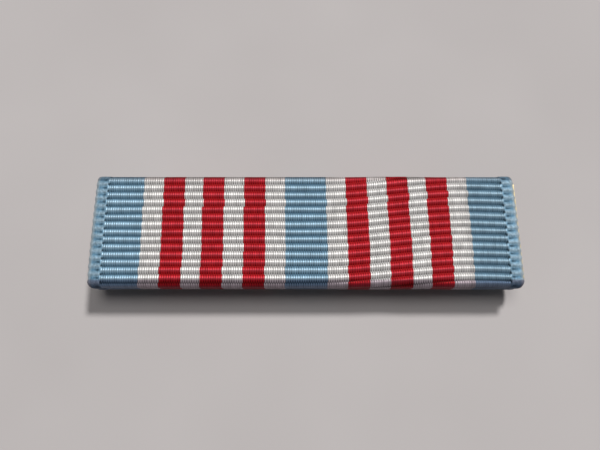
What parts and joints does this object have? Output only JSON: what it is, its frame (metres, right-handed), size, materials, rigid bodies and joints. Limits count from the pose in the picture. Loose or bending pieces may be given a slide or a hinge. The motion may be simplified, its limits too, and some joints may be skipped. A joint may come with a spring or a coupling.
{
  "type": "service ribbon bar",
  "caption": "Ribbon bar: striped woven ribbon folded over a brass channel plate that slides on a mounting bar with a hinged pin and a turning safety catch.",
  "frame": {"origin": "middle of the bar's length and height, on the plane that the lowest point of the pin fittings rests on", "axes": "+X along the bar, +Y towards the edge that is uppermost when worn, +Z out of the ribbon's face"},
  "size_m": [0.035, 0.0094, 0.0033],
  "materials": {
    "ribbon": "woven corded ribbon",
    "adhesive": "cloudy tape",
    "plate_brass": "rolled sheet, slightly dulled",
    "bar_brass": "stamped, slide marks",
    "fitting_brass": "stamped and tumbled",
    "rotor_brass": "turned, polished by the thumb",
    "steel": "drawn wire, bright plated",
    "solder": "dull tin solder"
  },
  "bodies": {
    "pin_bar": {"mounting_bar": "bar_brass", "hinge_solder": "solder", "hinge_bracket": "fitting_brass", "hinge_rivet": "steel", "catch_solder": "solder", "catch_base": "fitting_brass"},
    "ribbon_unit": {"ribbon": "ribbon", "adhesive_film": "adhesive", "lip_adhesive": "adhesive", "backing_plate": "plate_brass"},
    "pin": {"pin_stem": "steel"},
    "rotor": {"catch_rotor": "rotor_brass"}
  },
  "joints": [
    {"name": "ribbon_slide", "type": "slide", "parent": "pin_bar", "child": "ribbon_unit", "axis": [1, 0, 0], "range_m": [-0.035, 0.035]},
    {"name": "pin_swing", "type": "hinge", "parent": "pin_bar", "child": "pin", "pos_m": [-0.0134, 0, 0.00095], "axis": [0, 1, 0], "range_deg": [0, 100]},
    {"name": "catch_turn", "type": "hinge", "parent": "pin_bar", "child": "rotor", "pos_m": [0.012, 0, 0.00095], "axis": [1, 0, 0], "range_deg": [0, 140]}
  ]
}
